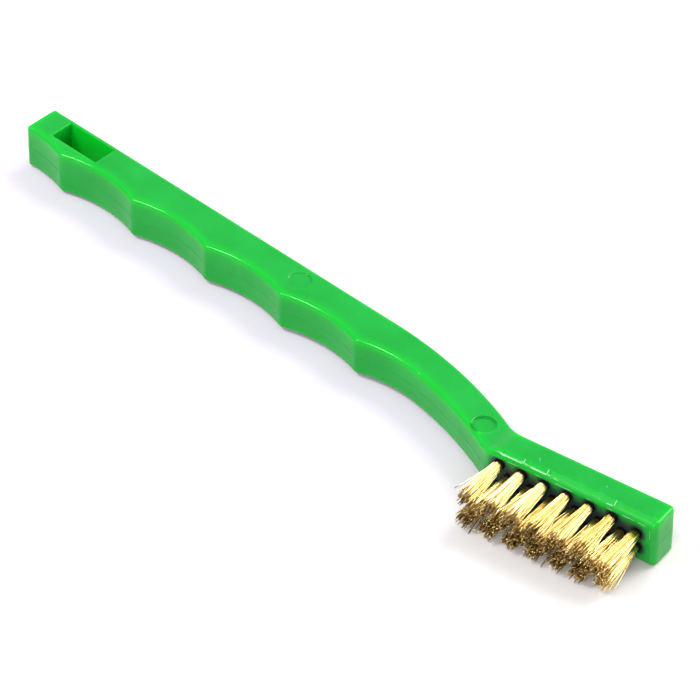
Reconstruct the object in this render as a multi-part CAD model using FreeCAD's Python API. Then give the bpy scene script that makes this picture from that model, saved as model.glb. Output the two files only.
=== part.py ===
"""Small brass wire brush: scalloped plastic handle, brass tufts and staples.

X runs from the hang slot end to the head, the bristles point to -Y and the
brush lies flat with its thickness along Z.  All lengths are in millimetres.
The plan is drawn from the butt end (x = 0) and the straight back (y = 0),
with z = 0 on the mid plane of the moulding, then moved so that the origin
is the centre of the underside of the whole brush.
"""
import FreeCAD, Part
import math
import os

os.makedirs("parts", exist_ok=True)
Vec = FreeCAD.Vector

# handle, plan view
BUTT_WIDTH = 8.85
CUSP_FIRST_X = 12.4
CUSP_PITCH = 22.44
CUSP_COUNT = 4
CUSP_Y = -10.62
NECK_CUSP = (101.4, -10.3)
NECK_CREST = (117.95, -8.86)
NECK_FOOT = (144.95, -16.96)
BACK_BEND_X = 103.45
SCALLOP_RADIUS = 32.5
NECK_RADIUS = 98.0
BACK_RADIUS = 105.7

# head, a block turned by HEAD_TILT from the line of the handle
HEAD_TILT = math.radians(8.53)
HEAD_CORNER = (185.57, -10.87)
HEAD_DEPTH = 7.55

# thickness along the handle, with an S shaped step up to the head
BUTT_THICK = 10.68
NECK_THICK = 8.74
HEAD_THICK = 11.6
STEP_START_X = 142.75
STEP_END_X = 147.45

# how far working blocks run past the moulding, and the hole tools past its face
MARGIN = 5.0
BLOCK_HALF = 20.0
PROFILE_HALF = 60.0
OVERCUT = 1.0

# what counts as on a point, upright, near the mid plane and a side wall
ON_POINT = 0.02
UPRIGHT = 0.9
NEAR_MIDDLE = 2.0
WALL_TILT = 0.05
HALVINGS = 60

# rounding
BUTT_ROUND = 0.7
CUSP_ROUND = 2.0
NECK_ROUND = 3.0
HEAD_ROUND = 1.1
EDGE_ROUND = 0.5

# hang slot and the two round moulding marks
SLOT_X = 6.25
SLOT_Y = -6.93
SLOT_LENGTH = 13.70
SLOT_WIDTH = 5.98
MARK_RADIUS = 2.63
MARK_HANDLE = (79.7, -4.25, 0.3)
MARK_NECK = (138.71, -10.63, 0.6)

# tufts: outer rows of six, a staggered middle row of six and an end pair
HOLE_RADIUS = 1.25
HOLE_DEPTH = 5.4
TUFT_PITCH = 5.48
TUFT_COUNT = 6
ROW_FIRST_S = -37.8
ROW_Z = 3.0
MIDDLE_SHIFT = 2.4
MIDDLE_Z = 0.2
END_S = -4.55
END_Z = 1.8
TUFT_RADIUS = 1.2
TUFT_TIP_RADIUS = 1.75
TUFT_LENGTH = 12.7

# flat staple driven into each hole
STAPLE_LENGTH = 3.1
STAPLE_THICK = 0.3
STAPLE_HEIGHT = 1.6
STAPLE_FLOOR = 5.0

ALONG = Vec(math.cos(HEAD_TILT), math.sin(HEAD_TILT), 0)
OUTWARD = Vec(math.sin(HEAD_TILT), -math.cos(HEAD_TILT), 0)
UP = Vec(0, 0, 1)
CORNER = Vec(HEAD_CORNER[0], HEAD_CORNER[1], 0)


def flat(point):
    """A plan point on the mid plane."""
    return Vec(point[0], point[1], 0)


def line(start, end):
    return Part.LineSegment(flat(start), flat(end)).toShape()


def arc(start, end, radius):
    """Arc of the given radius that bows towards +Y between two points."""
    a = flat(start)
    b = flat(end)
    half = (b - a).Length / 2
    rise = radius - math.sqrt(radius * radius - half * half)
    side = UP.cross(b - a)
    side.normalize()
    if side.y < 0:
        side = side * -1
    middle = (a + b) * 0.5 + side * rise
    return Part.Arc(a, middle, b).toShape()


def head_point(s, outward):
    """Plan point at s along the bristle face and outward from it."""
    p = CORNER + ALONG * s + OUTWARD * outward
    return (p.x, p.y)


def back_corner():
    """Where the curved back of the neck meets the flat back of the head."""
    low = BACK_BEND_X
    high = HEAD_CORNER[0]
    far = head_point(0, -HEAD_DEPTH)
    for _ in range(HALVINGS):
        x = (low + high) / 2
        run = min(x - BACK_BEND_X, BACK_RADIUS)
        curve = math.sqrt(BACK_RADIUS ** 2 - run ** 2) - BACK_RADIUS
        straight = far[1] - (far[0] - x) * math.tan(HEAD_TILT)
        if curve > straight:
            low = x
        else:
            high = x
    return (low, straight)


def plan_outline():
    """Closed outline of the moulding, going round from the butt end."""
    cusps = [(CUSP_FIRST_X + CUSP_PITCH * k, CUSP_Y) for k in range(CUSP_COUNT)]
    cusps.append(NECK_CUSP)
    far = head_point(0, -HEAD_DEPTH)
    corner = back_corner()
    edges = [arc((0, -BUTT_WIDTH), cusps[0], SCALLOP_RADIUS)]
    for start, end in zip(cusps[:-1], cusps[1:]):
        edges.append(arc(start, end, SCALLOP_RADIUS))
    edges.append(arc(NECK_CUSP, NECK_CREST, SCALLOP_RADIUS))
    edges.append(arc(NECK_CREST, NECK_FOOT, NECK_RADIUS))
    edges.append(line(NECK_FOOT, HEAD_CORNER))
    edges.append(line(HEAD_CORNER, far))
    edges.append(line(far, corner))
    edges.append(arc(corner, (BACK_BEND_X, 0), BACK_RADIUS))
    edges.append(line((BACK_BEND_X, 0), (0, 0)))
    edges.append(line((0, 0), (0, -BUTT_WIDTH)))
    rounds = [(point, CUSP_ROUND) for point in cusps]
    rounds.append(((0, 0), BUTT_ROUND))
    rounds.append(((0, -BUTT_WIDTH), BUTT_ROUND))
    rounds.append((NECK_FOOT, NECK_ROUND))
    rounds.append((corner, NECK_ROUND))
    rounds.append((HEAD_CORNER, HEAD_ROUND))
    rounds.append((far, HEAD_ROUND))
    return Part.Wire(edges), rounds


def side_profile():
    """Prism whose section is the tapering thickness seen from the side."""
    mid_x = (STEP_START_X + STEP_END_X) / 2
    mid_z = (NECK_THICK + HEAD_THICK) / 4
    half_run = (STEP_END_X - STEP_START_X) / 2
    half_rise = (HEAD_THICK - NECK_THICK) / 4
    radius = (half_run ** 2 + half_rise ** 2) / (2 * half_rise)
    sweep = math.asin(half_run / radius) / 2
    reach = radius * math.sin(sweep)
    drop = radius * (1 - math.cos(sweep))
    start_z = NECK_THICK / 2
    top_z = HEAD_THICK / 2
    end_x = HEAD_CORNER[0] + MARGIN
    slope = (BUTT_THICK - NECK_THICK) / 2 / STEP_START_X

    def at(x, z):
        return Vec(x, -PROFILE_HALF, z)

    edges = []
    for sign in (1, -1):
        a = at(-MARGIN, sign * (BUTT_THICK / 2 + MARGIN * slope))
        b = at(STEP_START_X, sign * start_z)
        b2 = at(STEP_START_X + reach, sign * (start_z + drop))
        c = at(mid_x, sign * mid_z)
        c2 = at(STEP_END_X - reach, sign * (top_z - drop))
        d = at(STEP_END_X, sign * top_z)
        e = at(end_x, sign * top_z)
        edges.append(Part.LineSegment(a, b).toShape())
        edges.append(Part.Arc(b, b2, c).toShape())
        edges.append(Part.Arc(c, c2, d).toShape())
        edges.append(Part.LineSegment(d, e).toShape())
        if sign > 0:
            first = a
            last = e
    edges.append(Part.LineSegment(first, a).toShape())
    edges.append(Part.LineSegment(last, e).toShape())
    wire = Part.Wire(Part.__sortEdges__(edges))
    return Part.Face(wire).extrude(Vec(0, 2 * PROFILE_HALF, 0))


def upright_edges(solid, point):
    """Straight edges of the solid that stand on a plan point."""
    found = []
    for edge in solid.Edges:
        ends = [v.Point for v in edge.Vertexes]
        if len(ends) == 2 and all(math.hypot(p.x - point[0], p.y - point[1]) < ON_POINT for p in ends):
            found.append(edge)
    return found


def rim_edges(solid):
    """Edges where the outer side walls meet the top and bottom faces."""
    rims = []
    for edge in solid.Edges:
        middle = edge.valueAt((edge.FirstParameter + edge.LastParameter) / 2)
        tangent = edge.tangentAt((edge.FirstParameter + edge.LastParameter) / 2)
        upright = abs(tangent.z) > UPRIGHT
        if upright or abs(middle.z) < NEAR_MIDDLE:
            continue
        if is_rim(solid, edge):
            rims.append(edge)
    return rims


def is_rim(solid, edge):
    """True when one neighbouring face is a side wall and one is not."""
    walls = 0
    faces = [f for f in solid.Faces if any(edge.isSame(e) for e in f.Edges)]
    for face in faces:
        u0, u1, v0, v1 = face.ParameterRange
        normal = face.normalAt((u0 + u1) / 2, (v0 + v1) / 2)
        if abs(normal.z) < WALL_TILT:
            walls += 1
    return len(faces) == 2 and walls == 1


def blank():
    """The moulding before its slot, marks and holes are cut."""
    wire, rounds = plan_outline()
    block = Part.Face(wire).extrude(Vec(0, 0, 2 * BLOCK_HALF))
    block.translate(Vec(0, 0, -BLOCK_HALF))
    for point, radius in rounds:
        block = block.makeFillet(radius, upright_edges(block, point))
    body = block.common(side_profile())
    body = body.Solids[0]
    return body.makeFillet(EDGE_ROUND, rim_edges(body)).Solids[0]


def hang_slot():
    tool = Part.makeBox(SLOT_LENGTH, SLOT_WIDTH, 2 * BLOCK_HALF)
    tool.translate(Vec(SLOT_X, SLOT_Y, -BLOCK_HALF))
    return tool


def mark(x, y, depth):
    """Shallow round sink in the upper face."""
    share = x / STEP_START_X
    top = (BUTT_THICK + (NECK_THICK - BUTT_THICK) * share) / 2
    return Part.makeCylinder(MARK_RADIUS, MARGIN, Vec(x, y, top - depth), UP)


def tuft_places():
    """Name, distance along the face and height of every tuft."""
    places = []
    for k in range(TUFT_COUNT):
        s = ROW_FIRST_S + k * TUFT_PITCH
        places.append(("upper_%d" % (k + 1), s, ROW_Z))
        places.append(("middle_%d" % (k + 1), s + MIDDLE_SHIFT, MIDDLE_Z))
        places.append(("lower_%d" % (k + 1), s, -ROW_Z))
    places.append(("end_1", END_S, END_Z))
    places.append(("end_2", END_S, -END_Z))
    return places


def on_face(s, z, outward):
    return CORNER + ALONG * s + OUTWARD * outward + UP * z


def staple(s, z, depth, height):
    """Flat strip standing in a hole, its long side along the head."""
    box = Part.makeBox(STAPLE_LENGTH, height, STAPLE_THICK)
    box.translate(Vec(-STAPLE_LENGTH / 2, -height, -STAPLE_THICK / 2))
    box.rotate(Vec(0, 0, 0), UP, math.degrees(HEAD_TILT))
    box.translate(on_face(s, z, -depth))
    return box


def hole(s, z):
    """Blind hole with the slit the staple leaves on its way in."""
    bore = Part.makeCylinder(HOLE_RADIUS, HOLE_DEPTH + OVERCUT, on_face(s, z, -HOLE_DEPTH), OUTWARD)
    slit = staple(s, z, STAPLE_FLOOR, STAPLE_FLOOR + OVERCUT)
    return bore.fuse(slit)


def tuft(s, z):
    """Bundle of wires as one solid, folded round its staple."""
    root = Part.makeCylinder(TUFT_RADIUS, HOLE_DEPTH, on_face(s, z, -HOLE_DEPTH), OUTWARD)
    spray = Part.makeCone(TUFT_RADIUS, TUFT_TIP_RADIUS, TUFT_LENGTH, on_face(s, z, 0), OUTWARD)
    body = root.fuse(spray)
    return body.cut(staple(s, z, STAPLE_FLOOR, STAPLE_HEIGHT))


handle = blank().cut(hang_slot())
for where in (MARK_HANDLE, MARK_NECK):
    handle = handle.cut(mark(*where))
for name, s, z in tuft_places():
    handle = handle.cut(hole(s, z))

nodes = {"handle": handle.Solids[0]}
for name, s, z in tuft_places():
    nodes["tuft_" + name] = tuft(s, z).Solids[0]
    nodes["staple_" + name] = staple(s, z, STAPLE_FLOOR, STAPLE_HEIGHT)

box = Part.makeCompound(list(nodes.values())).optimalBoundingBox(False)
origin = Vec(-(box.XMin + box.XMax) / 2, -(box.YMin + box.YMax) / 2, -box.ZMin)
for name, shape in nodes.items():
    shape.translate(origin)
    shape.exportStep("parts/%s.step" % name)
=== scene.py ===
import math
import random

import bmesh
import bpy
from mathutils import Matrix, Vector, geometry, noise


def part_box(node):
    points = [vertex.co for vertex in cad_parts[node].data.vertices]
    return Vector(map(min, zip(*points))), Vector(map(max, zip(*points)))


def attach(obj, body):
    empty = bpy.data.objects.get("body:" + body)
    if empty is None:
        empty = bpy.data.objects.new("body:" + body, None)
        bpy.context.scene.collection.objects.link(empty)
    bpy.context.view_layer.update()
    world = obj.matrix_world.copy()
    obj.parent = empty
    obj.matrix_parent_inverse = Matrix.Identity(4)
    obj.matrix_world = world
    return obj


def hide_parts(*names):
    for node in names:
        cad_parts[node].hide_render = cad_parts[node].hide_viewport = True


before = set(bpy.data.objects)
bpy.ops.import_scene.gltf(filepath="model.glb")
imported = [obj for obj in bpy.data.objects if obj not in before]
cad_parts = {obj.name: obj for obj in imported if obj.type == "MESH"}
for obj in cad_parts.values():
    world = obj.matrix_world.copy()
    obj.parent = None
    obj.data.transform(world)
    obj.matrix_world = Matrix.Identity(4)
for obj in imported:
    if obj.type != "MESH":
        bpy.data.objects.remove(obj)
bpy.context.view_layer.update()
random.seed(7)

MM = 0.001
handle_low, handle_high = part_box("handle")
BUTT_X = handle_low.x
BACK_Y = handle_high.y
MID_Z = (handle_low.z + handle_high.z) / 2

# The plan is drawn in millimetres from the butt end and the straight back,
# with z = 0 on the parting plane, as in the CAD.
BUTT_WIDTH = 8.85
CUSP_FIRST_X = 12.4
CUSP_PITCH = 22.44
CUSP_COUNT = 4
CUSP_Y = -10.62
NECK_CUSP = (101.4, -10.3)
NECK_CREST = (117.95, -8.86)
NECK_FOOT = (144.95, -16.96)
BACK_BEND_X = 103.45
BACK_CORNER = (146.84, -9.02)
SCALLOP_RADIUS = 32.5
NECK_RADIUS = 98.0
BACK_RADIUS = 105.7
HEAD_TILT = math.radians(8.53)
HEAD_CORNER = (185.57, -10.87)
HEAD_DEPTH = 7.55
BUTT_THICK = 10.68
NECK_THICK = 8.74
HEAD_THICK = 11.6
STEP_START_X = 142.75
STEP_END_X = 147.45
CUSP_ROUND = 2.0
CREST_ROUND = 12.0
FOOT_ROUND = 3.0
FACE_END_ROUND = 1.35
HEAD_END_ROUND = 1.1
BACK_CORNER_ROUND = 3.0
BUTT_ROUND = 0.7
OUTLINE_STEP = 0.8
FACE_STEP = 0.5
BACK_STEP = 2.0
EDGE_ROUND = 0.85
FACE_ROUND = 1.45
SLOT_X = 6.25
SLOT_Y = -6.93
SLOT_LENGTH = 13.7
SLOT_WIDTH = 5.98
MARK_HANDLE = (79.7, -4.25, 0.3)
MARK_NECK = (138.71, -10.63, 0.6)
HOLE_RADIUS = 1.25
HOLE_DEPTH = 5.4

ALONG = Vector((math.cos(HEAD_TILT), math.sin(HEAD_TILT)))
OUTWARD = Vector((math.sin(HEAD_TILT), -math.cos(HEAD_TILT)))
CORNER = Vector(HEAD_CORNER)


def to_row(x, y, z):
    """Plan millimetres to metres in the row frame."""
    return Vector((BUTT_X + x * MM, BACK_Y + y * MM, MID_Z + z * MM))


def on_face(s, z, outward):
    """A point by its place along the bristle face, its height and its reach."""
    p = CORNER + ALONG * s + OUTWARD * outward
    return to_row(p.x, p.y, z)


def plan_of(co):
    """Row-frame metres back to plan millimetres."""
    return (co.x - BUTT_X) / MM, (co.y - BACK_Y) / MM, (co.z - MID_Z) / MM


def face_place(co):
    """Place along the bristle face, height and reach of a row-frame point."""
    x, y, z = plan_of(co)
    x -= CORNER.x
    y -= CORNER.y
    return x * ALONG.x + y * ALONG.y, z, x * OUTWARD.x + y * OUTWARD.y


def half_thick(x):
    """Half the thickness of the moulding at x."""
    if x < STEP_START_X:
        return (BUTT_THICK + (NECK_THICK - BUTT_THICK) * x / STEP_START_X) / 2
    t = min(1.0, (x - STEP_START_X) / (STEP_END_X - STEP_START_X))
    return (NECK_THICK + (HEAD_THICK - NECK_THICK) * t * t * (3 - 2 * t)) / 2


# ---------------------------------------------------------------- outline

def arc_points(start, end, radius):
    """Points on an arc that bows towards +Y, both ends included."""
    a = Vector(start)
    b = Vector(end)
    chord = b - a
    half = chord.length / 2
    side = Vector((-chord.y, chord.x)).normalized()
    if side.y < 0:
        side = -side
    centre = (a + b) / 2 - side * math.sqrt(radius ** 2 - half ** 2)
    first = math.atan2(a.y - centre.y, a.x - centre.x)
    last = math.atan2(b.y - centre.y, b.x - centre.x)
    count = max(2, int(2 * half / OUTLINE_STEP))
    points = []
    for k in range(count + 1):
        angle = first + (last - first) * k / count
        points.append(centre + Vector((math.cos(angle), math.sin(angle))) * radius)
    return points


def line_points(start, end, step=OUTLINE_STEP):
    """Points on a straight line, both ends included."""
    a = Vector(start)
    b = Vector(end)
    count = max(2, int((b - a).length / step))
    return [a.lerp(b, k / count) for k in range(count + 1)]


def trimmed(points, length):
    """The run of points with a length cut off its start."""
    left = length
    for k in range(len(points) - 1):
        span = (points[k + 1] - points[k]).length
        if span > left:
            return [points[k].lerp(points[k + 1], left / span)] + points[k + 1:]
        left -= span
    return points[-2:]


def corner_points(before, after, radius):
    """Rounds the corner between two runs; returns both runs and the round."""
    d0 = (before[-1] - before[-2]).normalized()
    d1 = (after[1] - after[0]).normalized()
    turn = math.atan2(d0.x * d1.y - d0.y * d1.x, d0.dot(d1))
    cut = radius * math.tan(abs(turn) / 2)
    before = trimmed(before[::-1], cut)[::-1]
    after = trimmed(after, cut)
    normal = Vector((-d0.y, d0.x)) * (1 if turn > 0 else -1)
    centre = before[-1] + normal * radius
    spoke = before[-1] - centre
    count = max(3, int(abs(turn) / math.radians(9)))
    rounded = []
    for k in range(1, count):
        angle = turn * k / count
        c = math.cos(angle)
        s = math.sin(angle)
        rounded.append(centre + Vector((c * spoke.x - s * spoke.y, s * spoke.x + c * spoke.y)))
    return before, after, rounded


def outline():
    """Closed outline, anticlockwise seen from above, as (point, run) pairs."""
    cusps = [(CUSP_FIRST_X + CUSP_PITCH * k, CUSP_Y) for k in range(CUSP_COUNT)]
    cusps.append(NECK_CUSP)
    far = CORNER - OUTWARD * HEAD_DEPTH
    runs = [arc_points((0, -BUTT_WIDTH), cusps[0], SCALLOP_RADIUS)]
    rounds = [CUSP_ROUND]
    for start, end in zip(cusps[:-1], cusps[1:]):
        runs.append(arc_points(start, end, SCALLOP_RADIUS))
        rounds.append(CUSP_ROUND)
    runs.append(arc_points(NECK_CUSP, NECK_CREST, SCALLOP_RADIUS))
    rounds.append(CREST_ROUND)
    runs.append(arc_points(NECK_CREST, NECK_FOOT, NECK_RADIUS))
    rounds.append(FOOT_ROUND)
    runs.append(line_points(NECK_FOOT, HEAD_CORNER, FACE_STEP))
    rounds.append(FACE_END_ROUND)
    runs.append(line_points(HEAD_CORNER, far, FACE_STEP))
    rounds.append(HEAD_END_ROUND)
    runs.append(line_points(far, BACK_CORNER))
    rounds.append(BACK_CORNER_ROUND)
    # the back's curve runs smoothly into its straight part, without a round
    runs.append(arc_points(BACK_CORNER, (BACK_BEND_X, 0), BACK_RADIUS))
    rounds.append(0.0)
    runs.append(line_points((BACK_BEND_X, 0), (0, 0), BACK_STEP))
    rounds.append(BUTT_ROUND)
    runs.append(line_points((0, 0), (0, -BUTT_WIDTH)))
    rounds.append(BUTT_ROUND)
    arcs = []
    for k, radius in enumerate(rounds):
        after = (k + 1) % len(runs)
        arcs.append([])
        if radius > 0:
            runs[k], runs[after], arcs[k] = corner_points(runs[k], runs[after], radius)
    names = ["scallop"] * (CUSP_COUNT + 2) + ["neck", "face", "end", "back", "back", "back", "butt"]
    result = []
    for k, run in enumerate(runs):
        stop = len(run) if rounds[k] > 0 else len(run) - 1
        result += [(p, names[k]) for p in run[:stop]]
        result += [(p, "corner") for p in arcs[k]]
    return result


def outward_normals(points):
    """A unit normal at each point of a closed anticlockwise outline."""
    normals = []
    count = len(points)
    for k in range(count):
        a = (points[k] - points[k - 1]).normalized()
        b = (points[(k + 1) % count] - points[k]).normalized()
        t = (a + b).normalized()
        normals.append(Vector((t.y, -t.x)))
    return normals


def smoothed(values, passes):
    """Averages a closed list of numbers with its neighbours."""
    for _ in range(passes):
        after = values[1:] + values[:1]
        values = [(values[k - 1] + 2 * v + after[k]) / 4 for k, v in enumerate(values)]
    return values


# ---------------------------------------------------------------- tufts

TUFT_PITCH = 5.48
TUFT_COUNT = 6
ROW_FIRST_S = -37.8
ROW_Z = 3.0
MIDDLE_SHIFT = 2.4
MIDDLE_Z = 0.2
END_S = -4.55
END_Z = 1.8
TUFT_LENGTH = 12.7


def tuft_places():
    """Node name, place along the bristle face and height of every tuft."""
    places = []
    for k in range(TUFT_COUNT):
        s = ROW_FIRST_S + k * TUFT_PITCH
        places.append(("tuft_upper_%d" % (k + 1), s, ROW_Z))
        places.append(("tuft_middle_%d" % (k + 1), s + MIDDLE_SHIFT, MIDDLE_Z))
        places.append(("tuft_lower_%d" % (k + 1), s, -ROW_Z))
    places.append(("tuft_end_1", END_S, END_Z))
    places.append(("tuft_end_2", END_S, -END_Z))
    return places


# ---------------------------------------------------------------- handle mesh

SLOT_SIDE_POINTS = 6
RIM_STEPS = 7
DRAFT = 0.012
CAP_MARGIN = 0.12
WALL_MARGIN = 0.25
HOLE_POINTS = 32
MARK_POINTS = 64
# height and depth of each ring of the parting line: a fine groove over a raised lip
PARTING_LINE = (
    (0.30, 0), (0.11, 0), (0.04, 0.07), (-0.04, 0.07),
    (-0.11, -0.005), (-0.24, -0.012), (-0.4, 0),
)
# growth and depth of each ring round the mouth of the hang slot
SLOT_MOUTH = ((0.35, 0), (0.15, 0), (0.08, 0.012), (0.03, 0.05), (0.0, 0.14), (0.0, 0.5))
# rounding of the rim by run; the rest of the outline has EDGE_ROUND
RIM_ROUNDS = {"face": FACE_ROUND, "end": 0.75, "back": 0.55, "corner": 0.6, "butt": 0.45}
HEAD_CORNER_RIM = 1.0
BUTT_RIM_MOST = 0.5
RIM_WAVER = 0.15

# painted shade covers the face between the outer tufts, where the bristles shade it, and fades out
# around them
SHADE_START_S = -39.2
SHADE_END_S = -5.2
SHADE_HALF_Z = 2.5
SHADE_FADE = 2.9
SHADE_MOTTLE = 0.22
SHADE_RING = 1.7
SHADE_RING_FADE = 0.7

# painted glow of thin places, for light through the plastic, and where the rim has lost its gloss
GLOW_DEPTH = 2.4
GLOW_ABOVE = 0.9
GLOW_BELOW = 0.35
GLOW_SLOT = 0.75
DULL_START_S = -40
DULL_FULL_S = -26
DULL_END_S = -1.5
DULL_DEPTH = 2.0


def grid(x0, y0, dx, dy, columns, rows):
    """Points of a flat grid, column by column."""
    return [(x0 + i * dx, y0 + j * dy) for i in range(columns) for j in range(rows)]


def paint(mesh, name, values):
    """Stores a number for each vertex, for the materials to read."""
    mesh.attributes.new(name, "FLOAT", "POINT").data.foreach_set("value", values)

def inside(x, y, ring):
    """True when a plan point lies within a closed ring of (x, y) pairs."""
    found = False
    for k in range(len(ring)):
        x0, y0 = ring[k - 1]
        x1, y1 = ring[k]
        if (y0 > y) != (y1 > y) and x < x0 + (y - y0) * (x1 - x0) / (y1 - y0):
            found = not found
    return found


def fill(bm, flat_of, outer, holes, extra, lift):
    """Triangulates between an outer ring and holes, through extra flat points.

    flat_of gives a vertex's flat coordinates, and lift turns flat ones into a place.
    """
    verts = []
    coords = []
    edges = []
    for ring in [outer] + holes:
        start = len(verts)
        verts += ring
        coords += [flat_of(v) for v in ring]
        edges += [(start + k, start + (k + 1) % len(ring)) for k in range(len(ring))]
    coords += extra
    found = geometry.delaunay_2d_cdt([Vector(c) for c in coords], edges, [], 0, 1e-9)
    made = []
    for place, origins in zip(found[0], found[3]):
        known = [o for o in origins if o < len(verts)]
        made.append(verts[known[0]] if known else bm.verts.new(lift(place.x, place.y)))
    rings = [[tuple(flat_of(v)) for v in ring] for ring in [outer] + holes]
    for triangle in found[2]:
        x = sum(found[0][k].x for k in triangle) / 3
        y = sum(found[0][k].y for k in triangle) / 3
        if inside(x, y, rings[0]) and not any(inside(x, y, r) for r in rings[1:]):
            corners = [made[k] for k in triangle]
            if len(set(corners)) == 3:
                bm.faces.new(corners)


def bridge(bm, upper, lower, skip=()):
    """Quads between two closed rings of the same length."""
    count = len(upper)
    for k in range(count):
        if k not in skip:
            n = (k + 1) % count
            bm.faces.new((upper[k], lower[k], lower[n], upper[n]))


def slot_ring(grow):
    """Rectangle round the hang slot, grown by a margin."""
    x0 = SLOT_X - grow
    x1 = SLOT_X + SLOT_LENGTH + grow
    y0 = SLOT_Y - grow
    y1 = SLOT_Y + SLOT_WIDTH + grow
    corners = [(x0, y0), (x1, y0), (x1, y1), (x0, y1)]
    points = []
    for k, corner in enumerate(corners):
        following = corners[(k + 1) % 4]
        for j in range(SLOT_SIDE_POINTS):
            points.append(Vector(corner).lerp(Vector(following), j / SLOT_SIDE_POINTS))
    return points


def circle(centre, radius, count):
    """Points of a circle, anticlockwise."""
    step = 2 * math.pi / count
    return [Vector((centre[0] + radius * math.cos(k * step), centre[1] + radius * math.sin(k * step)))
            for k in range(count)]


def painted_root_shade(co):
    """Share of painted shade at a point: full among the tuft roots, where the bristles shade the face,
    none away from them.
    """
    s, z, reach = face_place(co)
    # nothing on the handle, deeper than the holes, or on the upper and lower faces
    if s < -44 or reach < -6 or abs(z) > 5.7:
        return 0.0
    nearest = min(math.hypot(s - hs, z - hz) for _, hs, hz in tuft_places())
    # off the bristle face only the insides of the holes get painted shade
    if reach < -0.02 and nearest > 1.6:
        return 0.0
    beside = max(0.0, SHADE_START_S - s, s - SHADE_END_S)
    off = math.hypot(beside, max(0.0, abs(z) - SHADE_HALF_Z))
    cover = max(0.0, 1.0 - off / SHADE_FADE) ** 1.3
    if 0.03 < cover < 0.97:
        cover += SHADE_MOTTLE * noise.noise(Vector((s * 1.1, z * 1.1, reach)))
    ring = min(1.0, 1.0 - (nearest - SHADE_RING) / SHADE_RING_FADE)
    return max(0.0, min(1.0, max(cover, ring)))


def painted_glow_share(co, points):
    """Share of painted glow: brighter near an outer edge, for light passing through the plastic, more
    on the upper side and in the hang slot.
    """
    x, y, z = plan_of(co)
    within_length = abs(x - SLOT_X - SLOT_LENGTH / 2) < SLOT_LENGTH / 2 + 0.1
    within_width = SLOT_Y - 0.07 < y < SLOT_Y + SLOT_WIDTH + 0.05
    if within_length and within_width:
        return GLOW_SLOT
    flat = min((x - p.x) ** 2 + (y - p.y) ** 2 for p in points)
    off = math.sqrt(flat) + max(0.0, half_thick(x) - abs(z))
    share = GLOW_ABOVE if z > 0 else GLOW_BELOW
    return share * max(0.0, 1.0 - off / GLOW_DEPTH)


def dullness(co):
    """Uneven loss of gloss along the rim over the bristle face, least near the neck."""
    s, z, reach = face_place(co)
    if s < DULL_START_S or s > DULL_END_S or reach < -DULL_DEPTH or z < 0:
        return 0.0
    if s < DULL_FULL_S:
        return random.uniform(0.0, 0.35)
    return random.uniform(0.45, 1.0)


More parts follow.
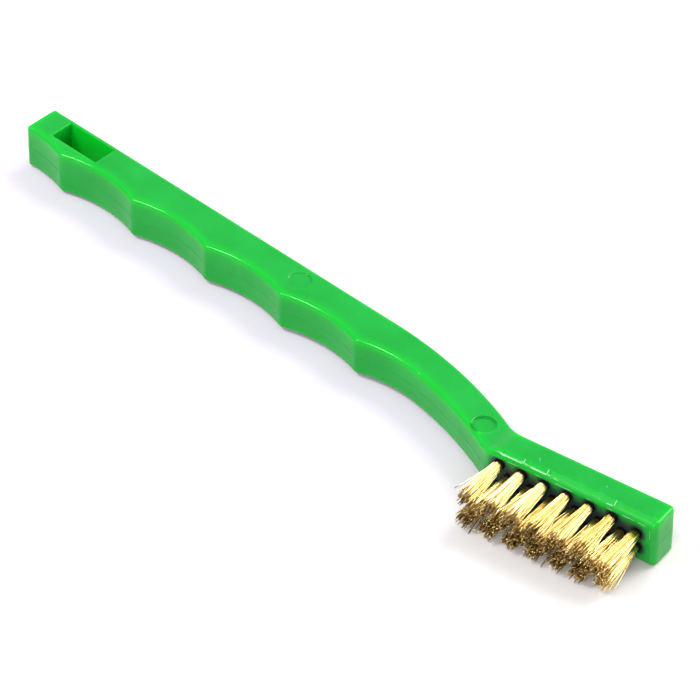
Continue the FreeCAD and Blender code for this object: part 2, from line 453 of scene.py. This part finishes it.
def handle_mesh():
    """The whole moulding as one closed mesh, with the vertex attributes of its looks."""
    marked = outline()
    points = [p for p, _ in marked]
    names = [name for _, name in marked]
    normals = outward_normals(points)
    count = len(points)
    face_run = [k for k, name in enumerate(names) if name == "face"]
    first, last = face_run[0], face_run[-1]
    rounds = [RIM_ROUNDS.get(name, EDGE_ROUND) for name in names]
    for k, p in enumerate(points):
        if names[k] == "corner":
            if min((p - CORNER).length, (p - Vector(NECK_FOOT)).length) < 4:
                rounds[k] = HEAD_CORNER_RIM
            # the cusps between the scallops
            if 2 < p.x < 104 and p.y < -8:
                rounds[k] = EDGE_ROUND
    rounds = smoothed(rounds, 6)
    rounds = [min(r, BUTT_RIM_MOST) if points[k].x < 1.25 else r for k, r in enumerate(rounds)]
    # draft and the parting line stop short of the bristle face, which is flat
    detail = [0.0 if first - 2 <= k <= last + 2 else 1.0 for k in range(count)]
    detail = smoothed(detail, 6)
    detail = [0.0 if first <= k <= last else v for k, v in enumerate(detail)]

    # the rim over the bristle face is not quite true
    waver = smoothed([random.gauss(0, RIM_WAVER) for _ in range(count)], 2)
    waver = [w if first < k < last else 0.0 for k, w in enumerate(waver)]
    bm = bmesh.new()

    def ring_at(inset_of, z_of):
        ring = []
        for k in range(count):
            p = points[k] - normals[k] * inset_of(k)
            ring.append(bm.verts.new(to_row(p.x, p.y, z_of(k, p))))
        return ring

    def top(k):
        return half_thick(points[k].x)

    def side(k, z, groove=0.0):
        """Wall inset for draft and the parting line."""
        return detail[k] * (DRAFT * abs(z) + groove)

    def pit(places_of, levels):
        """A blind hole of bridged rings with a floor; returns the ring at its mouth."""
        bore = [[bm.verts.new(place) for place in places_of(*level)] for level in levels]
        for upper, lower in zip(bore[:-1], bore[1:]):
            bridge(bm, upper, lower)
        bm.faces.new(bore[-1])
        return bore[0]

    rings = []
    for sign in (1, -1):
        half = [ring_at(lambda k: rounds[k] + CAP_MARGIN, lambda k, p: sign * half_thick(p.x))]
        for j in range(RIM_STEPS + 1):
            phi = math.pi / 2 * j / RIM_STEPS

            def inset(k):
                wave = waver[k] * math.sin(2 * phi) ** 2
                wall = side(k, top(k) - rounds[k])
                return rounds[k] * (1 - math.sin(phi)) + wall + max(0.0, wave)

            def height(k, p):
                return sign * (half_thick(p.x) - rounds[k] * (1 - math.cos(phi)))

            half.append(ring_at(inset, height))
        half.append(ring_at(lambda k: side(k, top(k) - rounds[k] - WALL_MARGIN),
                            lambda k, p: sign * (top(k) - rounds[k] - WALL_MARGIN)))
        for share in (0.7, 0.4):
            half.append(ring_at(lambda k: side(k, share * top(k)),
                                lambda k, p: sign * share * (top(k) - rounds[k])))
        rings.append(half)
    middle = []
    for z, groove in PARTING_LINE:
        middle.append(ring_at(lambda k: side(k, z, groove), lambda k, p: z))
    stack = rings[0] + middle + rings[1][::-1]
    wall_start = RIM_STEPS + 1
    wall_end = len(stack) - 1 - wall_start
    for level in range(len(stack) - 1):
        skip = range(first, last) if wall_start <= level < wall_end else ()
        bridge(bm, stack[level], stack[level + 1], skip)

    # bristle face with its holes
    columns = stack[wall_start:wall_end + 1]
    border = [columns[0][k] for k in range(first, last + 1)]
    border += [ring[last] for ring in columns[1:-1]]
    border += [columns[-1][k] for k in range(last, first - 1, -1)]
    border += [ring[first] for ring in columns[-2:0:-1]]

    def face_flat(v):
        return face_place(v.co)[:2]

    rims = []
    for _, s, z in tuft_places():
        levels = [(HOLE_RADIUS + 0.12, 0), (HOLE_RADIUS + 0.07, 0), (HOLE_RADIUS + 0.02, -0.03),
                  (HOLE_RADIUS, -0.1), (HOLE_RADIUS, -0.5), (HOLE_RADIUS, -HOLE_DEPTH)]
        rims.append(pit(lambda radius, reach: [on_face(p.x, p.y, reach)
                                               for p in circle((s, z), radius, HOLE_POINTS)], levels))
    flat_border = [face_flat(v) for v in border]
    panel = [p for p in grid(-42.3, -4.4, 0.4, 0.4, 102, 23)
             if all((p[0] - s) ** 2 + (p[1] - z) ** 2 > 1.55 ** 2 for _, s, z in tuft_places())
             and inside(p[0], p[1], flat_border)
             and min(math.dist(p, q) for q in flat_border) > 0.3]
    fill(bm, face_flat, border, rims, panel, lambda x, y: on_face(x, y, 0))

    # upper and lower faces
    def cap_flat(v):
        return plan_of(v.co)[:2]

    # close together over the step in thickness, further apart elsewhere
    cap_points = grid(STEP_START_X - 0.6, -16.6, 0.22, 0.5, 28, 24)
    cap_points += [p for p in grid(0.95, -17.6, 0.9, 0.65, 205, 27)
                   if not STEP_START_X - 1.2 < p[0] < STEP_END_X + 1.2]
    slot_walls = []
    for sign in (1, -1):
        slot_levels = []
        for grow, sink in SLOT_MOUTH:
            slot_levels.append([bm.verts.new(to_row(p.x, p.y, sign * (half_thick(p.x) - sink)))
                                for p in slot_ring(grow)])
        for upper, lower in zip(slot_levels[:-1], slot_levels[1:]):
            bridge(bm, upper, lower)
        slot_walls.append(slot_levels)
        holes = [slot_levels[0]]
        if sign > 0:
            for x, y, depth in (MARK_HANDLE, MARK_NECK):
                # radius and depth of each ring, from the lip down to the floor
                levels = [(2.95, 0), (2.75, 0), (2.68, 0.02), (2.63, 0.08), (2.62, depth - 0.1),
                          (2.57, depth - 0.03), (2.47, depth), (2.3, depth)]
                holes.append(pit(lambda radius, drop: [to_row(p.x, p.y, half_thick(p.x) - drop)
                                                       for p in circle((x, y), radius, MARK_POINTS)],
                                 levels))
        outer = rings[0][0] if sign > 0 else rings[1][0]
        outer_flat = [cap_flat(v) for v in outer]
        slot_corners = [tuple(q) for q in slot_ring(0.7)]
        extra = [p for p in cap_points if inside(p[0], p[1], outer_flat)
                 and not inside(p[0], p[1], slot_corners)
                 and math.dist(p, MARK_NECK[:2]) > 3.2
                 and math.dist(p, MARK_HANDLE[:2]) > 3.2
                 and min(math.dist(p, q) for q in outer_flat) > 0.35]
        fill(bm, cap_flat, outer, holes, extra,
             lambda x, y: to_row(x, y, sign * half_thick(x)))
    bridge(bm, slot_walls[0][-1], slot_walls[1][-1])
    bmesh.ops.recalc_face_normals(bm, faces=bm.faces)
    mesh = bpy.data.meshes.new("handle_shell")
    bm.to_mesh(mesh)
    bm.free()
    near_edge = [p for p, name in marked if name != "back"]
    # painted shade among the tuft roots
    paint(mesh, "painted_shade", [painted_root_shade(v.co) for v in mesh.vertices])
    # painted glow near outer edges, standing in for light through the plastic
    paint(mesh, "painted_glow", [painted_glow_share(v.co, near_edge) for v in mesh.vertices])
    paint(mesh, "dull", [dullness(v.co) for v in mesh.vertices])
    for polygon in mesh.polygons:
        polygon.use_smooth = True
    mesh.set_sharp_from_angle(angle=math.radians(38))
    return mesh


# ---------------------------------------------------------------- materials

def new_material(name):
    """A node material with its node tree and its shader."""
    material = bpy.data.materials.new(name)
    material.use_nodes = True
    tree = material.node_tree
    return material, tree, tree.nodes["Principled BSDF"]


def attribute_share(tree, name):
    """Output of a painted vertex attribute."""
    node = tree.nodes.new("ShaderNodeAttribute")
    node.attribute_name = name
    return node.outputs["Fac"]


def blend(tree, share, colour, towards):
    """Colour output that goes from a linked colour to a fixed one."""
    node = tree.nodes.new("ShaderNodeMix")
    node.data_type = "RGBA"
    node.inputs[7].default_value = towards
    tree.links.new(share, node.inputs[0])
    tree.links.new(colour, node.inputs[6])
    return node.outputs[2]


def spread(tree, share, low, high):
    """Output that runs from low to high as a linked share goes from 0 to 1."""
    node = tree.nodes.new("ShaderNodeMapRange")
    node.inputs["To Min"].default_value = low
    node.inputs["To Max"].default_value = high
    tree.links.new(share, node.inputs["Value"])
    return node.outputs["Result"]


def plastic():
    """Green plastic with painted shade among the tuft roots, painted glow at thin places, and dulled
    where the mesh is painted so.
    """
    material, tree, shader = new_material("green_plastic")
    nodes, links = tree.nodes, tree.links
    place = nodes.new("ShaderNodeTexCoord")
    cloud = nodes.new("ShaderNodeTexNoise")
    cloud.inputs["Scale"].default_value = 90
    cloud.inputs["Detail"].default_value = 3
    links.new(place.outputs["Object"], cloud.inputs["Vector"])
    ramp = nodes.new("ShaderNodeValToRGB")
    ramp.color_ramp.elements[0].position = 0.3
    ramp.color_ramp.elements[0].color = (0.005, 0.265, 0.027, 1)
    ramp.color_ramp.elements[1].position = 0.7
    ramp.color_ramp.elements[1].color = (0.008, 0.305, 0.037, 1)
    links.new(cloud.outputs["Fac"], ramp.inputs["Fac"])
    painted_shade = attribute_share(tree, "painted_shade")
    # painted glow: brighter green near outer edges, standing in for light through the plastic
    lit = blend(tree, attribute_share(tree, "painted_glow"), ramp.outputs["Color"], (0.001, 0.385, 0.018, 1))
    # painted shade: the bristle face among the tuft roots turns near-black
    links.new(blend(tree, painted_shade, lit, (0.014, 0.027, 0.025, 1)), shader.inputs["Base Color"])
    shader.inputs["IOR"].default_value = 1.46
    shader.inputs["Specular IOR Level"].default_value = 0.27
    links.new(spread(tree, painted_shade, 0.6, 0.0), shader.inputs["Subsurface Weight"])
    shader.inputs["Subsurface Radius"].default_value = (0.3, 1.0, 0.35)
    shader.inputs["Subsurface Scale"].default_value = 0.004
    # roughness: 0.4 of the dullness on top of a clouded gloss
    tip_shade = nodes.new("ShaderNodeMath")
    tip_shade.operation = "MULTIPLY_ADD"
    tip_shade.inputs[1].default_value = 0.4
    links.new(attribute_share(tree, "dull"), tip_shade.inputs[0])
    links.new(spread(tree, cloud.outputs["Fac"], 0.13, 0.24), tip_shade.inputs[2])
    links.new(tip_shade.outputs["Value"], shader.inputs["Roughness"])
    fine = nodes.new("ShaderNodeTexNoise")
    fine.inputs["Scale"].default_value = 900
    fine.inputs["Detail"].default_value = 4
    links.new(place.outputs["Object"], fine.inputs["Vector"])
    bump = nodes.new("ShaderNodeBump")
    bump.inputs["Strength"].default_value = 0.12
    bump.inputs["Distance"].default_value = 0.0001
    links.new(fine.outputs["Fac"], bump.inputs["Height"])
    links.new(bump.outputs["Normal"], shader.inputs["Normal"])
    return material


def flash_highlight_plastic():
    """Painted highlight: the flash is coloured paler than the body, for the light its thin ridges catch
    and let through.
    """
    material, tree, shader = new_material("flash_painted_highlight")
    grain = tree.nodes.new("ShaderNodeTexNoise")
    grain.inputs["Scale"].default_value = 1500
    ramp = tree.nodes.new("ShaderNodeValToRGB")
    ramp.color_ramp.elements[0].position = 0.35
    ramp.color_ramp.elements[0].color = (0.06, 0.50, 0.11, 1)
    ramp.color_ramp.elements[1].position = 0.65
    ramp.color_ramp.elements[1].color = (0.38, 0.75, 0.46, 1)
    tree.links.new(grain.outputs["Fac"], ramp.inputs["Fac"])
    tree.links.new(ramp.outputs["Color"], shader.inputs["Base Color"])
    shader.inputs["Roughness"].default_value = 0.3
    return material


def brass():
    """Brass that differs from wire to wire, with painted shade: dark brown at the tips and near-black
    at the roots.
    """
    material, tree, shader = new_material("brass_wire")
    nodes, links = tree.nodes, tree.links
    shader.inputs["Metallic"].default_value = 1.0
    shader.inputs["Specular Tint"].default_value = (0.85, 0.58, 0.26, 1)
    shades = nodes.new("ShaderNodeValToRGB")
    shades.color_ramp.elements[0].color = (0.42, 0.29, 0.07, 1)
    shades.color_ramp.elements[1].color = (1.0, 0.89, 0.57, 1)
    middle = shades.color_ramp.elements.new(0.4)
    middle.color = (0.84, 0.62, 0.21, 1)
    links.new(attribute_share(tree, "tone"), shades.inputs["Fac"])
    tip = attribute_share(tree, "tip")
    root = attribute_share(tree, "root")
    # painted shade: dark brown towards the wire tips
    tip_shaded_colour = blend(tree, tip, shades.outputs["Color"], (0.105, 0.038, 0.010, 1))
    # painted shade: near-black at the wire roots
    links.new(blend(tree, root, tip_shaded_colour, (0.035, 0.028, 0.02, 1)), shader.inputs["Base Color"])
    shaded_part = nodes.new("ShaderNodeMath")
    shaded_part.operation = "MAXIMUM"
    links.new(tip, shaded_part.inputs[0])
    links.new(root, shaded_part.inputs[1])
    links.new(spread(tree, shaded_part.outputs["Value"], 0.2, 0.65), shader.inputs["Roughness"])
    return material


def steel():
    """Bare steel for the staples."""
    material, tree, shader = new_material("staple_steel")
    shader.inputs["Metallic"].default_value = 1.0
    shader.inputs["Base Color"].default_value = (0.6, 0.6, 0.61, 1)
    grain = tree.nodes.new("ShaderNodeTexNoise")
    grain.inputs["Scale"].default_value = 2500
    tree.links.new(spread(tree, grain.outputs["Fac"], 0.3, 0.5), shader.inputs["Roughness"])
    return material


# ---------------------------------------------------------------- wires

WIRES = 96
WIRE_RADIUS = 0.1
BUNDLE_RADIUS = 1.12
SIDES = 6
FLARE = 1.6
STRAY_SHARE = 0.06
LONG_SHARE = 0.07
SHADED_TIP_SHARE = 0.68
ROOT_MARGIN = 0.14
SHEEN_BEFORE_S = -25
# the wires keep clear of the floor and of the far end of the head
WIRE_LOWEST_Z = 0.12 - HEAD_THICK / 2
WIRE_LAST_S = -2.2


def tube_faces(start, rings):
    """Faces of a closed tube whose rings of SIDES vertices begin at start."""
    faces = []
    for k in range(rings - 1):
        a = start + k * SIDES
        for m in range(SIDES):
            n = (m + 1) % SIDES
            faces.append((a + m, a + n, a + SIDES + n, a + SIDES + m))
    last = start + (rings - 1) * SIDES
    faces.append(tuple(last + m for m in range(SIDES)))
    faces.append(tuple(start + m for m in reversed(range(SIDES))))
    return faces


def wire_path(s, z, u, v, shade):
    """Points of one wire in (s, z, reach) millimetres, from its hole to its tip."""
    flare = FLARE + random.gauss(0, 0.12)
    end_u = u * flare + random.gauss(0, 0.22)
    end_v = v * flare + random.gauss(0, 0.22)
    length = TUFT_LENGTH + max(-1.2, min(1.2, random.gauss(0, 0.45)))
    if random.random() < LONG_SHARE:
        length += random.uniform(0.4, 1.3)
    if random.random() < STRAY_SHARE:
        end_u += random.gauss(0, 1.3)
        end_v += random.gauss(0, 1.1)
    wave = random.uniform(0.02, 0.07)
    phase = random.uniform(0, 2 * math.pi)
    turn = random.uniform(0, 2 * math.pi)
    curl = random.gauss(0, 0.22)
    # close together at the end of the painted root shade and at the tip
    reaches = [-2.5, 0.0, shade - ROOT_MARGIN, shade + ROOT_MARGIN, 3.0, 4.5, 6.0, 7.5, 9.0]
    reaches += [length - 2.4, length - 1.5, length - 0.9, length - 0.4, length]
    path = []
    for reach in reaches:
        t = max(0.0, reach / length)
        bend = t ** 1.15
        ripple = wave * math.sin(phase + reach * 1.9) * min(1.0, t * 4)
        hook = curl * max(0.0, t - 0.7) / 0.3
        along = s + u + (end_u - u) * bend + ripple * math.cos(turn) + hook * math.sin(turn)
        high = z + v + (end_v - v) * bend + ripple * math.sin(turn) + hook * math.cos(turn)
        path.append((min(along, WIRE_LAST_S), max(high, WIRE_LOWEST_Z), reach))
    return path


def tuft_mesh(name, s, z):
    """The wires of one tuft as closed tubes, with their tone and the painted shade of tip and root."""
    verts = []
    faces = []
    tips = []
    tones = []
    roots = []
    golden = math.pi * (3 - math.sqrt(5))
    tip_shade = 0.35 if "end" in name else 1.0
    # painted highlight: tufts towards the handle get paler wires, for the light that whitens them
    painted_sheen = 1.0 if s < SHEEN_BEFORE_S else 0.78
    for k in range(WIRES):
        r = BUNDLE_RADIUS * math.sqrt((k + 0.5) / WIRES)
        angle = golden * k + random.gauss(0, 0.12)
        u = r * math.cos(angle)
        v = r * math.sin(angle)
        # a slight parting where the staple folds the bundle
        v += 0.08 * (1 if v > 0 else -1) * (1 - abs(v))
        tone = painted_sheen * random.random()
        radius = WIRE_RADIUS * random.uniform(0.88, 1.06)
        # painted shade at the tips: most wires get dark brown ends, the end tufts less
        dark = tip_shade * (random.uniform(0.75, 1.0) if random.random() < SHADED_TIP_SHARE
                       else random.uniform(0.0, 0.3))
        band = random.uniform(0.5, 2.4)
        # painted shade: the root stays near-black up to this reach, further on the lower side
        shade = 0.85 + 0.7 * max(0.0, -v) + random.uniform(-0.12, 0.12)
        path = wire_path(s, z, u, v, shade)
        start = len(verts)
        spin = random.uniform(0, math.pi)
        for ps, pz, reach in path:
            share = max(0.0, min(1.0, (reach - path[-1][2] + band) / 0.6))
            for m in range(SIDES):
                a = spin + 2 * math.pi * m / SIDES
                verts.append(on_face(ps + radius * math.cos(a), pz + radius * math.sin(a), reach))
                tips.append(dark * share * random.uniform(0.75, 1.0))
                tones.append(tone)
                roots.append(1.0 if reach < shade else 0.0)
        faces += tube_faces(start, len(path))
    mesh = bpy.data.meshes.new(name)
    mesh.from_pydata(verts, [], faces)
    paint(mesh, "tip", tips)
    paint(mesh, "tone", tones)
    paint(mesh, "root", roots)
    mesh.polygons.foreach_set("use_smooth", [len(f) == 4 for f in faces])
    mesh.update()
    return mesh


# ---------------------------------------------------------------- mould flash

def edge_point(s, inward, lift):
    """A point on the rounded upper rim of the head, a way in from the bristle face."""
    drop = 0.0
    if inward < FACE_ROUND:
        drop = FACE_ROUND - math.sqrt(FACE_ROUND ** 2 - (FACE_ROUND - inward) ** 2)
    return on_face(s, HEAD_THICK / 2 - drop + lift, -inward)


def tube(verts, faces, points, radius):
    """Adds a closed round bar along points, tapering at both ends."""
    start = len(verts)
    for k, p in enumerate(points):
        ahead = points[min(k + 1, len(points) - 1)] - points[max(k - 1, 0)]
        turn = ahead.to_track_quat("Z", "Y")
        size = radius * (0.35 if k in (0, len(points) - 1) else 1.0) * MM
        for m in range(SIDES):
            a = 2 * math.pi * m / SIDES
            verts.append(p + turn @ Vector((size * math.cos(a), size * math.sin(a), 0)))
    faces += tube_faces(start, len(points))


def flash_mesh():
    """Thin raised ridges with short cross ticks along the front rim of the head."""
    verts = []
    faces = []
    ridges = ((-38.2, -32.5, 0.12), (-30.8, -26.6, 0.12), (-25.2, -23.9, 0.07), (-12.4, -10.6, 0.1))
    for first, last, thick in ridges:
        count = max(4, int((last - first) / 0.4))
        points = []
        for k in range(count + 1):
            s = first + (last - first) * k / count
            points.append(edge_point(s, 0.5 + random.uniform(-0.04, 0.04), random.uniform(-0.02, 0.04)))
        tube(verts, faces, points, thick)
    ticks = ((-32.4, 1.7, 0.5, 0.11), (-26.7, 1.9, 0.5, 0.11), (-10.5, 2.1, 0.6, 0.1))
    for s, inner, outer, thick in ticks:
        points = [edge_point(s - 0.05 * k, outer + (inner - outer) * k / 5, 0.02) for k in range(6)]
        tube(verts, faces, points, thick)
    # a broken fine line along two borders of the bristle face
    lines = ((-36.0, -33.4), (-29.5, -27.6), (-24.6, -20.2), (-17.0, -15.8),
             (-12.0, -10.4), (-8.3, -5.2), (-4.6, -2.4))
    for first, last in lines:
        count = max(3, int((last - first) / 0.5))
        border = [on_face(first + (last - first) * k / count, 4.7 + random.uniform(-0.06, 0.06), -0.015)
                  for k in range(count + 1)]
        tube(verts, faces, border, 0.04)
    border = [on_face(-1.5 + random.uniform(-0.04, 0.04), 4.2 - 0.4 * k, -0.015) for k in range(8)]
    tube(verts, faces, border, 0.045)
    # small raised specks on the upper face of the head, pale with the painted highlight of the flash
    pale_specks = ((154.95, -12.0, 0.35), (170.25, -8.7, 0.2), (170.55, -8.9, 0.15), (155.35, -12.4, 0.25))
    for x, y, size in pale_specks:
        points = [to_row(x + size * k / 3, y + size * k / 5, HEAD_THICK / 2) for k in range(4)]
        tube(verts, faces, points, 0.07)
    mesh = bpy.data.meshes.new("mould_flash")
    mesh.from_pydata(verts, [], faces)
    mesh.polygons.foreach_set("use_smooth", [True] * len(faces))
    mesh.update()
    return mesh


def add_piece(name, mesh, material):
    """Puts a mesh in the scene as a piece of the brush."""
    piece = bpy.data.objects.new(name, mesh)
    bpy.context.scene.collection.objects.link(piece)
    mesh.materials.append(material)
    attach(piece, "root")
    return piece


plastic_material = plastic()
handle = add_piece("handle_shell", handle_mesh(), plastic_material)
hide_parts("handle")
# the flash is coloured pale, a painted highlight along its ridges, ticks, lines and specks
flash = add_piece("mould_flash", flash_mesh(), flash_highlight_plastic())
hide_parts("handle")
brass_material = brass()
for node, s, z in tuft_places():
    wires = add_piece(node + "_wires", tuft_mesh(node + "_wires", s, z), brass_material)
    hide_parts(node)
steel_material = steel()
for name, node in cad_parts.items():
    if name.startswith("staple_"):
        node.data.materials.clear()
        node.data.materials.append(steel_material)

# ---------------------------------------------------------------- stage

FLOOR_HALF = 3
FLOOR_GAP = 0.00005
FLOOR_VIOLET = (0.661, 0.605, 0.686, 1)
FLOOR_WARM = (0.650, 0.628, 0.615, 1)
FLOOR_BLEND_START_X = 0.035
FLOOR_BLEND_END_X = 0.060

floor_corners = [(FLOOR_HALF * i, FLOOR_HALF * j, 0) for i, j in ((-1, -1), (1, -1), (1, 1), (-1, 1))]
floor_mesh = bpy.data.meshes.new("floor")
floor_mesh.from_pydata(floor_corners, [], [(0, 1, 2, 3)])
floor = bpy.data.objects.new("floor", floor_mesh)
bpy.context.scene.collection.objects.link(floor)
floor.location.z = handle_low.z - FLOOR_GAP
# painted light: the tint cancels the handle's green bounce light near it and turns the shade under the
# bristles warm
floor_material, floor_tree, floor_shader = new_material("floor_white")
floor_place = floor_tree.nodes.new("ShaderNodeTexCoord")
floor_split = floor_tree.nodes.new("ShaderNodeSeparateXYZ")
floor_blend = floor_tree.nodes.new("ShaderNodeMapRange")
floor_blend.inputs["From Min"].default_value = FLOOR_BLEND_START_X
floor_blend.inputs["From Max"].default_value = FLOOR_BLEND_END_X
floor_painted_tint = floor_tree.nodes.new("ShaderNodeMix")
floor_painted_tint.data_type = "RGBA"
floor_painted_tint.inputs[6].default_value = FLOOR_VIOLET
floor_painted_tint.inputs[7].default_value = FLOOR_WARM
floor_tree.links.new(floor_place.outputs["Object"], floor_split.inputs["Vector"])
floor_tree.links.new(floor_split.outputs["X"], floor_blend.inputs["Value"])
floor_tree.links.new(floor_blend.outputs["Result"], floor_painted_tint.inputs[0])
floor_tree.links.new(floor_painted_tint.outputs[2], floor_shader.inputs["Base Color"])
floor_shader.inputs["Roughness"].default_value = 1.0
floor_shader.inputs["Specular IOR Level"].default_value = 0.1
floor_mesh.materials.append(floor_material)


LIGHT_DISTANCE = 1.2


def area_light(name, azimuth, elevation, size, power):
    """A round lamp that faces the middle of the brush, by its direction in degrees."""
    light = bpy.data.lights.new(name, "AREA")
    light.shape = "DISK"
    light.size = size
    light.energy = power
    lamp = bpy.data.objects.new(name, light)
    a = math.radians(azimuth)
    e = math.radians(elevation)
    away = Vector((math.sin(a) * math.cos(e), -math.cos(a) * math.cos(e), math.sin(e)))
    lamp.location = away * LIGHT_DISTANCE
    lamp.rotation_mode = "QUATERNION"
    lamp.rotation_quaternion = away.to_track_quat("Z", "Y")
    bpy.context.scene.collection.objects.link(lamp)


area_light("back_light", 167, 48, 0.8, 11)
area_light("low_light", 150, 28, 0.9, 6)
area_light("left_light", -38, 55, 0.33, 9)
area_light("front_light", 30, 35, 0.9, 9)

world = bpy.data.worlds.new("studio")
bpy.context.scene.world = world
world.use_nodes = True
world.node_tree.nodes["Background"].inputs["Color"].default_value = (0.95, 0.97, 1.0, 1)
world.node_tree.nodes["Background"].inputs["Strength"].default_value = 0.62
bpy.context.scene.view_settings.view_transform = "Standard"

# ---------------------------------------------------------------- camera

# fitted to the brush's outline in the photograph; angles in radians
CAMERA_AZIMUTH = 0.752806
CAMERA_ELEVATION = 0.715343
CAMERA_ROLL = 0.009231
CAMERA_DISTANCE = 1.00036
CAMERA_AIM = to_row(99.317, -9.344, 0)
CAMERA_SENSOR_MM = 36
CAMERA_LENS_MM = 243.65
CAMERA_NEAREST = 0.05
CAMERA_FURTHEST = 20

back = Vector((math.sin(CAMERA_AZIMUTH) * math.cos(CAMERA_ELEVATION),
               -math.cos(CAMERA_AZIMUTH) * math.cos(CAMERA_ELEVATION),
               math.sin(CAMERA_ELEVATION)))
level = Vector((math.cos(CAMERA_AZIMUTH), math.sin(CAMERA_AZIMUTH), 0))
upright = back.cross(level)
right = level * math.cos(CAMERA_ROLL) + upright * math.sin(CAMERA_ROLL)
up = back.cross(right)
camera_data = bpy.data.cameras.new("camera")
camera_data.sensor_width = CAMERA_SENSOR_MM
camera_data.lens = CAMERA_LENS_MM
camera_data.clip_start = CAMERA_NEAREST
camera_data.clip_end = CAMERA_FURTHEST
camera = bpy.data.objects.new("camera", camera_data)
bpy.context.scene.collection.objects.link(camera)
camera.matrix_world = Matrix((
    (right.x, up.x, back.x, CAMERA_AIM.x + back.x * CAMERA_DISTANCE),
    (right.y, up.y, back.y, CAMERA_AIM.y + back.y * CAMERA_DISTANCE),
    (right.z, up.z, back.z, CAMERA_AIM.z + back.z * CAMERA_DISTANCE),
    (0, 0, 0, 1),
))
bpy.context.scene.camera = camera

bpy.context.view_layer.update()
